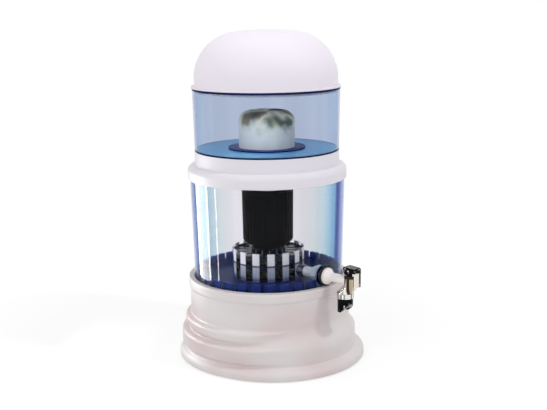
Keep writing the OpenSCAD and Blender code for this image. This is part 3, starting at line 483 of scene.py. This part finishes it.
def make_pebble_look():
    """Dark grey stone with paler flecks."""
    look = Look("mineral_pebbles")
    look.colour(
        look.ramp(
            look.noise(62, 1),
            (0.30, rgb(30, 32, 38)),
            (0.45, rgb(84, 82, 84)),
            (0.55, rgb(48, 46, 50)),
            (0.68, rgb(140, 138, 136)),
        )
    )
    look.roughness(look.range(look.noise(150, 3), 0.35, 0.6))
    look.bump(look.noise(600, 4), 0.0002)
    return look


def make_white():
    """The stand's white: its tone drifts more than that of the other mouldings."""
    look = moulded("white_moulded", rgb(226, 220, 220), rgb(220, 207, 208), 0.42, shine=0.1)
    drift = look.noise(7, 2, 0.4, (1, 1, 2))
    stops = (0.32, rgb(219, 203, 205)), (0.50, rgb(224, 217, 217)), (0.66, rgb(227, 223, 222))
    look.colour(look.ramp(drift, *stops))
    return look


white = make_white()
pearl = moulded("lid_polished", rgb(252, 247, 254), rgb(249, 243, 253), 0.42, glow=0.12, shine=0.15)
cover = moulded("cover_moulded", rgb(248, 245, 251), rgb(244, 241, 248), 0.42, glow=0.12, shine=0.12)
fitting = moulded("tap_white", rgb(252, 246, 242), rgb(246, 239, 236), 0.30, coat=0.1)
# The strainer's dark navy is painted shade, so that the end of the tap's pipe reads as a dark open hole.
strainer = moulded("strainer_dark", rgb(40, 52, 92), rgb(24, 34, 66), 0.14, coat=0.8)
black = moulded("black_gloss", rgb(9, 12, 16), rgb(4, 6, 9), 0.30, shine=0.05)
navy = moulded("navy_gloss", rgb(0, 52, 138), rgb(0, 36, 108), 0.30, shine=0.03)
rubber = moulded("black_rubber", rgb(24, 24, 26), rgb(16, 16, 18), 0.7, 0.00006)
silicone = moulded("milky_silicone", rgb(206, 212, 224), rgb(192, 200, 214), 0.5, 0.00006)
upper_clear = clear(
    "upper_tank_clear",
    tint=(0.628, 0.676, 0.766, 1),
    absorb=(0.30, 0.55, 0.90, 1),
    density=12,
    edges=(
        (0.30, (1.0, 1.0, 1.0, 1)),
        (0.55, (0.92, 0.96, 0.98, 1)),
        (0.75, (0.76, 0.84, 0.94, 1)),
        (0.84, (0.70, 0.76, 0.90, 1)),
        (0.87, (0.25, 0.28, 0.55, 1)),
        (0.91, (0.60, 0.64, 0.84, 1)),
    ),
    coat=0.06,
    deep_part=upper_deep,
    milky_part=upper_floor,
)
lower_clear = clear(
    "lower_tank_clear",
    tint=(0.825, 0.815, 0.845, 1),
    absorb=(0.30, 0.55, 0.85, 1),
    density=4,
    edges=(
        (0.12, (1.0, 1.0, 1.0, 1)),
        (0.22, (0.92, 0.97, 0.96, 1)),
        (0.33, (0.80, 0.93, 0.96, 1)),
        (0.50, (0.42, 0.66, 0.85, 1)),
        (0.58, (0.36, 0.58, 0.84, 1)),
        (0.60, (0.04, 0.07, 0.34, 1)),
        (0.67, (0.04, 0.07, 0.34, 1)),
        (0.70, (0.36, 0.42, 0.76, 1)),
        (0.85, (0.42, 0.44, 0.78, 1)),
    ),
    coat=0.22,
    deep_part=lower_deep,
)
felt = granular("felt_pads", rgb(225, 224, 218), rgb(205, 204, 198), 0.0008, 0.0002, 0.95)
carbon = granular("carbon_grains", rgb(46, 46, 48), rgb(14, 14, 15), 0.0014, 0.0006)
zeolite = granular("zeolite_grains", rgb(160, 168, 150), rgb(118, 126, 112), 0.0022, 0.0008)
sand = granular("silica_grains", rgb(222, 210, 180), rgb(186, 172, 140), 0.0009, 0.0004)
resin = granular("resin_beads", rgb(206, 146, 62), rgb(160, 98, 34), 0.0010, 0.0004, 0.5)
steel = metal("drawn_steel", (0.60, 0.60, 0.62, 1), (0.50, 0.50, 0.52, 1), 0.28, 0.00003)
# The tap's chrome and its ring nut carry painted reflections as dark stripes.
chrome = banded(
    "tap_chrome",
    light=(0.84, 0.79, 0.72, 1),
    dark=(0.035, 0.026, 0.018, 1),
    around_y=TAP_Y,
    painted_bands=((-168, 13), (-112, 4), (-62, 8), (-8, 10), (48, 5), (105, 12), (150, 4)),
    dark_above=TAP_TOP_Z - 2.7,
    brown_reflection_at=-150,
)
ring_chrome = banded(
    "ring_chrome",
    light=(0.72, 0.71, 0.70, 1),
    dark=(0.10, 0.10, 0.11, 1),
    around_y=SPOUT_Y,
    painted_bands=((-172, 6), (-148, 4), (-96, 5), (-70, 3), (-20, 9), (60, 8), (120, 6)),
)
smoked = make_lever_look()
case_painted = make_case_look()
ceramic = make_ceramic()
pebble = make_pebble_look()

white.dress("seat_plate")
pearl.dress("dome_lid")
cover.dress("filter_cover")
fitting.dress("wing_nut", "cartridge_top", "cartridge_lock_nut", "tap_barrel", "tap_back_nut")
black.dress("cartridge_housing", "cartridge_outlet")
navy.dress("ceramic_plate")
rubber.dress("foot_ring", "ceramic_washer", "cartridge_seal", "tap_outer_gasket", "tap_seat_plug")
silicone.dress("tap_inner_gasket")
upper_clear.dress("upper_tank")
lower_clear.dress("lower_tank")
case_painted.dress("case_floor", "mineral_case", "mineral_case_lid")
strainer.dress("tap_strainer")
ceramic.dress("ceramic_dome")
felt.dress("felt_pads")
carbon.dress("carbon_bed")
zeolite.dress("zeolite_bed")
sand.dress("sand_bed")
resin.dress("resin_bed")
chrome.dress("tap_body", "tap_bonnet")
ring_chrome.dress("tap_ring_nut")
smoked.dress("tap_nozzle", "tap_lever")
steel.dress("tap_stem", "tap_spring", "tap_lever_pin")


# ---- Pieces ----


def make_piece(name, vertices, faces, body, stands_for, look, crease=40):
    """A piece from vertices in millimetres, smooth except at edges sharper than crease degrees."""
    mesh = bpy.data.meshes.new(name)
    mesh.from_pydata([tuple(c * MM for c in v) for v in vertices], [], faces)
    mesh.validate()
    mesh.shade_smooth()
    mesh.set_sharp_from_angle(angle=math.radians(crease))
    piece = bpy.data.objects.new(name, mesh)
    bpy.context.scene.collection.objects.link(piece)
    look.dress(piece)
    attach(piece, body)
    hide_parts(*stands_for)
    return piece


def slab(z, r, low, high, round_low=0, round_high=0):
    """Radius at height z of a slab of radius r with rounded edges, or 0 outside it."""
    if not low <= z <= high:
        return 0.0
    for edge, radius in ((z - low, round_low), (high - z, round_high)):
        if edge < radius:
            return r - radius + math.sqrt(radius * radius - (radius - edge) ** 2)
    return r


def soft_max(a, b, width):
    """The larger of a and b, with a rounded turn where they are within width of each other."""
    h = max(width - abs(a - b), 0) / width
    return max(a, b) + h * h * width / 4


def soft_min(a, b, width):
    return -soft_max(-a, -b, width)


def off_axis(phi, r, shift):
    """Distance from the axis, at angle phi from the front, to a circle that is shifted forwards."""
    return shift * math.cos(phi) + math.sqrt(r * r - (shift * math.sin(phi)) ** 2)


# The stand, in millimetres above its lip's underside. Each tier fades out towards the front, at a
# circle whose centre lies further back.
LIP = {"r": LIP_R, "low": 0, "high": 16, "round_low": 2, "round_high": 12}
LOW_TIER = {"r": 145.5, "low": 20.5, "high": 48, "round_low": 6, "round_high": 6}
MID_TIER = {"r": 139.0, "low": 52.5, "high": 71, "round_low": 6, "round_high": 6}
RIM_BAND = {"r": 131.7, "low": 117, "high": STAND_H, "round_low": 1.6, "round_high": 3}
LOW_FADE = {"r": 155.0, "shift": -15}
MID_FADE = {"r": 152.0, "shift": -24}
WALL_R, WALL_TOP = 130.1, 129
GROOVE_DEPTH = 4.6
FADE_WIDTH, TIER_WIDTH, FRONT_WIDTH = 3.0, 2.0, 2.5

# The smooth front is round an axis of its own, further forward.
FRONT_SHIFT = 14
BELLY_R, FACE_R = 132.4, 117.4
BELLY_TOP, CURVE_TOP, FACE_TOP = 38, 76, 117
TOE = {"r": 147.6, "low": 0, "high": 15, "round_low": 2, "round_high": 9.5}

# The inside and the underside.
WALL = 3.2
SEAT_R = 122.6
HOLLOW_R, MID_HOLLOW_R = WALL_R - WALL, 128.0
FOOT_GROOVE_R, FOOT_GROOVE_H = 140.0, 1.8

# The outside is worked out in small steps, and blurred a little between two heights.
TURNS = 240
STEP = 0.5
BLUR_STEPS, BLUR_SPREAD = 7, 1.3
BLUR_LOW, BLUR_HIGH = 3, 113


def tier(body, phi, z, sizes, fade):
    """The outside with a tier added to it, if the tier reaches height z."""
    r = slab(z, **sizes)
    if not r:
        return body
    return soft_max(body, soft_min(r, off_axis(phi, **fade), FADE_WIDTH), TIER_WIDTH)


def front_radius(z):
    """Radius of the smooth front at height z, or 0 above it: a belly that curves in to an upright face."""
    if z <= BELLY_TOP:
        r = BELLY_R
    elif z <= CURVE_TOP:
        turn = math.pi * (z - BELLY_TOP) / (CURVE_TOP - BELLY_TOP)
        r = FACE_R + (BELLY_R - FACE_R) * (1 + math.cos(turn)) / 2
    elif z <= FACE_TOP:
        r = FACE_R
    else:
        r = 0
    return max(r, slab(z, **TOE))


def stand_radius(phi, z):
    """The outside at angle phi from the front and height z. Above WALL_TOP only the rim band is left."""
    body = slab(z, **RIM_BAND)
    if z <= WALL_TOP:
        for sizes in (LOW_TIER, MID_TIER):
            body = max(body, slab(z, sizes["r"] - GROOVE_DEPTH, 0, sizes["low"] + 0.5))
        body = max(body, slab(z, **LIP), WALL_R)
    body = tier(body, phi, z, LOW_TIER, LOW_FADE)
    body = tier(body, phi, z, MID_TIER, MID_FADE)
    front = front_radius(z)
    if front:
        body = soft_max(body, off_axis(phi, front, FRONT_SHIFT), FRONT_WIDTH)
    return body


def outside(phi, heights):
    """(radius, height) pairs of the outside at angle phi. Its turns are blurred as a moulding's are."""
    steps = range(-BLUR_STEPS, BLUR_STEPS + 1)
    weights = [math.exp(-((k * STEP) ** 2) / (2 * BLUR_SPREAD**2)) for k in steps]
    last = round(STAND_H / STEP)
    fine = [stand_radius(phi, min(STEP * k, STAND_H - 0.1)) for k in range(last + 1)]
    pairs = []
    for z in heights:
        if BLUR_LOW <= z <= BLUR_HIGH:
            at = round(z / STEP)
            near = [fine[min(max(at + k, 0), last)] for k in steps]
            r = sum(w * v for w, v in zip(weights, near)) / sum(weights)
        else:
            r = stand_radius(phi, z)
        pairs.append((r, z))
    return pairs


def inside():
    """(radius, height) pairs of the rim's top, the tank's seat, the hollow and the foot ring's groove."""
    rim_r = RIM_BAND["r"]
    mid_z = MID_TIER["high"] - WALL
    low_z = LOW_TIER["high"] - WALL
    low_r = FOOT_GROOVE_R - WALL
    pairs = [(rim_r - 0.7, STAND_H), (rim_r - 1.5, STAND_H), (SEAT_R + 0.8, STAND_H)]
    pairs += [(SEAT_R, STAND_H - 0.8), (SEAT_R, SEAT_H), (HOLLOW_R, SEAT_H)]
    pairs += [(HOLLOW_R, mid_z), (MID_HOLLOW_R, mid_z), (MID_HOLLOW_R, low_z), (low_r, low_z), (low_r, 0)]
    pairs += [(FOOT_GROOVE_R, 0), (FOOT_GROOVE_R, FOOT_GROOVE_H), (FOOT_R, FOOT_GROOVE_H)]
    pairs += [(FOOT_R, 0), (FOOT_R + 1.6, 0)]
    return pairs


def make_stand():
    """The moulded stand: its tiers melt into the smooth front, as they do on the real moulding."""
    heights = [0.3, 0.8, 1.6] + [2.5 + k for k in range(114)]
    heights += [FACE_TOP + k for k in (0.2, 1, 2, 4, 7, 10, 12)]
    heights += [STAND_H - k for k in (2.6, 1.6, 0.8, 0.3)]
    vertices, faces = [], []
    for i in range(TURNS):
        phi = 2 * math.pi * i / TURNS
        column = outside(phi, heights) + inside()
        vertices += [(r * math.sin(phi), -r * math.cos(phi), z + LIP_Z) for r, z in column]
    count = len(column)
    for i in range(TURNS):
        a, b = i * count, (i + 1) % TURNS * count
        for k in range(count):
            n = (k + 1) % count
            faces.append((a + k, a + n, b + n, b + k))
    return make_piece(
        "stand_moulding", vertices, faces, "stand", ["base_stand"], white, 35
    )


STONE_R, TOP_STONE_R = 6.4, 5.5
STONE_PITCH, LAYER_RISE = 13.2, 12.2
STONES_Z = mm("mineral_stones", LOW, Z) + STONE_R


def stone_places():
    """The middle and the radius of each CAD stone: rings round one stone, in two layers."""
    for layer in range(2):
        for ring in range(4 - layer):
            for i in range(max(6 * ring, 1)):
                angle = math.radians(i * 60 / max(ring, 1) + 30 * layer)
                out = ring * STONE_PITCH
                height = STONES_Z + LAYER_RISE * layer
                place = Vector((out * math.cos(angle), out * math.sin(angle), height))
                yield place, (STONE_R, TOP_STONE_R)[layer]


def pebble_points(points, place, size, rng):
    """The points of a unit ball as a pebble: flattened, turned and dented at random."""
    flat = Vector((rng.uniform(0.88, 1.0), rng.uniform(0.80, 0.97), rng.uniform(0.72, 0.92)))
    angle = rng.uniform(0, 6.28)
    turn = Matrix.Rotation(angle, 3, Vector([rng.gauss(0, 1) for _ in range(3)]))
    seed = Vector([rng.uniform(0, 90) for _ in range(3)])
    for p in points:
        bulge = 1 + 0.16 * noise.noise(p * 1.3 + seed) + 0.05 * noise.noise(p * 3.5 + seed)
        yield tuple(place + turn @ (p * flat * min(bulge, 1.0) * size))


def make_pebbles():
    """The mineral stones: worn pebbles of uneven shape, each where the CAD has its round stone."""
    rng = random.Random(7)
    ball = bmesh.new()
    bmesh.ops.create_icosphere(ball, subdivisions=3, radius=1.0)
    points = [v.co.copy() for v in ball.verts]
    loops = [[v.index for v in f.verts] for f in ball.faces]
    ball.free()
    vertices, faces = [], []
    for place, size in stone_places():
        first = len(vertices)
        vertices += pebble_points(points, place, size, rng)
        faces += [[first + n for n in loop] for loop in loops]
    return make_piece("pebbles", vertices, faces, "stone_case", ["mineral_stones"], pebble, 180)


make_stand()
make_pebbles()


# ---- Floor, camera and light, in metres ----

FLOOR_HALF = 12.0
PALE, PALER = (0.80, 0.80, 0.80, 1), (0.82, 0.82, 0.82, 1)
FLOOR_NEAR, FLOOR_FAR = 350, 1300  # in millimetres from the axis; plain white beyond the second

PHOTO_WIDTH, FOCAL_PX = 547, 972.1  # the photograph's width and the focal length, in its pixels
SENSOR = 36
AZIMUTH, YAW, PITCH, ROLL = (math.radians(v) for v in (-46.0, 0.35, 11.58, -0.71))
CAMERA_AWAY, CAMERA_Z = 1.565, 0.5686

CENTRE = Vector((0, 0, 0.27))
TAP = Vector((0, -0.15, 0.15))
CERAMIC = Vector((0, 0, 0.362))
TANK = Vector((0, 0, 0.1625))
STREAK_LENGTH = 0.225


def showing(tree):
    """1 for rays that show the background: seen directly, in a reflection or through clear plastic."""
    path = tree.nodes.new("ShaderNodeLightPath").outputs
    seen = maths(tree, "MAXIMUM", path["Is Camera Ray"], path["Is Transmission Ray"])
    return maths(tree, "MAXIMUM", seen, path["Is Glossy Ray"])


def make_floor():
    """A pale floor. Seen, it reads white and keeps the object's soft shadow."""
    corners = [(x * FLOOR_HALF, y * FLOOR_HALF, 0) for x, y in ((-1, -1), (1, -1), (1, 1), (-1, 1))]
    mesh = bpy.data.meshes.new("floor")
    mesh.from_pydata(corners, [], [(0, 1, 2, 3)])
    floor = bpy.data.objects.new("floor", mesh)
    bpy.context.scene.collection.objects.link(floor)
    look = Look("floor_pale", Roughness=0.9)
    look.colour(look.ramp(look.noise(2, 2), (0.3, PALE), (0.7, PALER)))
    x, y, _ = look.axes()
    reach = look.reach(x, y)
    lift = look.node("ShaderNodeEmission")
    look.link(look.fade(reach, FLOOR_NEAR, FLOOR_FAR, 1.25, 1.0), lift.inputs["Strength"])
    share = look.both(showing(look.tree), look.fade(reach, FLOOR_NEAR, FLOOR_FAR, 0.5, 1.0))
    shares = look.node("ShaderNodeMixShader")
    look.link(share, shares.inputs["Fac"])
    look.link(look.shader.outputs[0], shares.inputs[1])
    look.link(lift.outputs[0], shares.inputs[2])
    look.surface(shares.outputs[0])
    floor.data.materials.append(look.material)


def make_camera():
    """The camera that the photograph was taken with, solved from the object's round edges. Returns the
    level directions across its view and ahead."""
    across = Vector((math.cos(AZIMUTH), math.sin(AZIMUTH), 0))
    ahead = Vector((-math.sin(AZIMUTH), math.cos(AZIMUTH), 0))
    up = Vector((0, 0, 1))
    right = across * math.cos(YAW) - ahead * math.sin(YAW)
    level = across * math.sin(YAW) + ahead * math.cos(YAW)
    look = level * math.cos(PITCH) - up * math.sin(PITCH)
    top = level * math.sin(PITCH) + up * math.cos(PITCH)
    turned_right = right * math.cos(ROLL) + top * math.sin(ROLL)
    turned_top = top * math.cos(ROLL) - right * math.sin(ROLL)
    data = bpy.data.cameras.new("camera")
    data.sensor_fit = "HORIZONTAL"
    data.sensor_width = SENSOR
    data.lens = FOCAL_PX / PHOTO_WIDTH * SENSOR
    data.clip_start = 0.05
    camera = bpy.data.objects.new("camera", data)
    place = Matrix((turned_right, turned_top, -look)).transposed().to_4x4()
    place.translation = ahead * -CAMERA_AWAY + up * CAMERA_Z
    camera.matrix_world = place
    bpy.context.scene.collection.objects.link(camera)
    bpy.context.scene.camera = camera
    return across, ahead


def area(name, where, towards, size, power):
    """A rectangular lamp of a size in metres and a power in watts."""
    data = bpy.data.lights.new(name, "AREA")
    data.shape = "RECTANGLE"
    data.size, data.size_y = size
    data.energy = power
    lamp = bpy.data.objects.new(name, data)
    lamp.location = where
    lamp.rotation_euler = (towards - where).to_track_quat("-Z", "Y").to_euler()
    bpy.context.scene.collection.objects.link(lamp)
    return lamp


make_floor()
across, ahead = make_camera()


def seen_from(right, back, height):
    """A place given as the camera sees it: to the right, towards the camera, and up, in metres."""
    return across * right - ahead * back + Vector((0, 0, height))


area("tap_side", seen_from(1.30, 0.65, 1.95), TAP, (0.12, 0.12), 11)
area("left", seen_from(-1.6, 0.3, 0.9), CENTRE, (0.5, 1.2), 2.2)
area("front", seen_from(-1.1, 1.6, 1.2), CENTRE, (1.0, 1.0), 7)
area("top", seen_from(0.0, 0.0, 2.2), CENTRE, (1.2, 1.2), 6)

# A small lamp that lights the ceramic dome and isn't seen itself.
fill = area("ceramic_fill", seen_from(-0.02, 0.105, 0.385), CERAMIC, (0.10, 0.05), 0.022)
fill.visible_camera = fill.visible_glossy = fill.visible_transmission = False

# Upright lamps on the left that only show as streaks in what is glossy: right, back, width, power.
for name, right, back, wide, power in (
    ("streak_1", -0.350, -0.130, 0.012, 0.36),
    ("streak_2", -0.387, 0.016, 0.012, 0.40),
    ("streak_3", -0.376, 0.130, 0.010, 0.30),
    ("streak_wide", -0.365, -0.070, 0.210, 2.2),
):
    lamp = area(name, seen_from(right, back, TANK.z), TANK, (wide, STREAK_LENGTH), power)
    lamp.visible_diffuse = lamp.visible_camera = lamp.visible_transmission = False

world = bpy.data.worlds.new("studio")
bpy.context.scene.world = world
world.use_nodes = True
tree = world.node_tree
background = tree.nodes["Background"].inputs
background["Color"].default_value = (1, 1, 1, 1)
strength = tree.nodes.new("ShaderNodeMapRange")
strength.inputs["To Min"].default_value = 0.6
strength.inputs["To Max"].default_value = 1.0
tree.links.new(showing(tree), strength.inputs["Value"])
tree.links.new(strength.outputs["Result"], background["Strength"])

bpy.context.scene.view_settings.view_transform = "Standard"
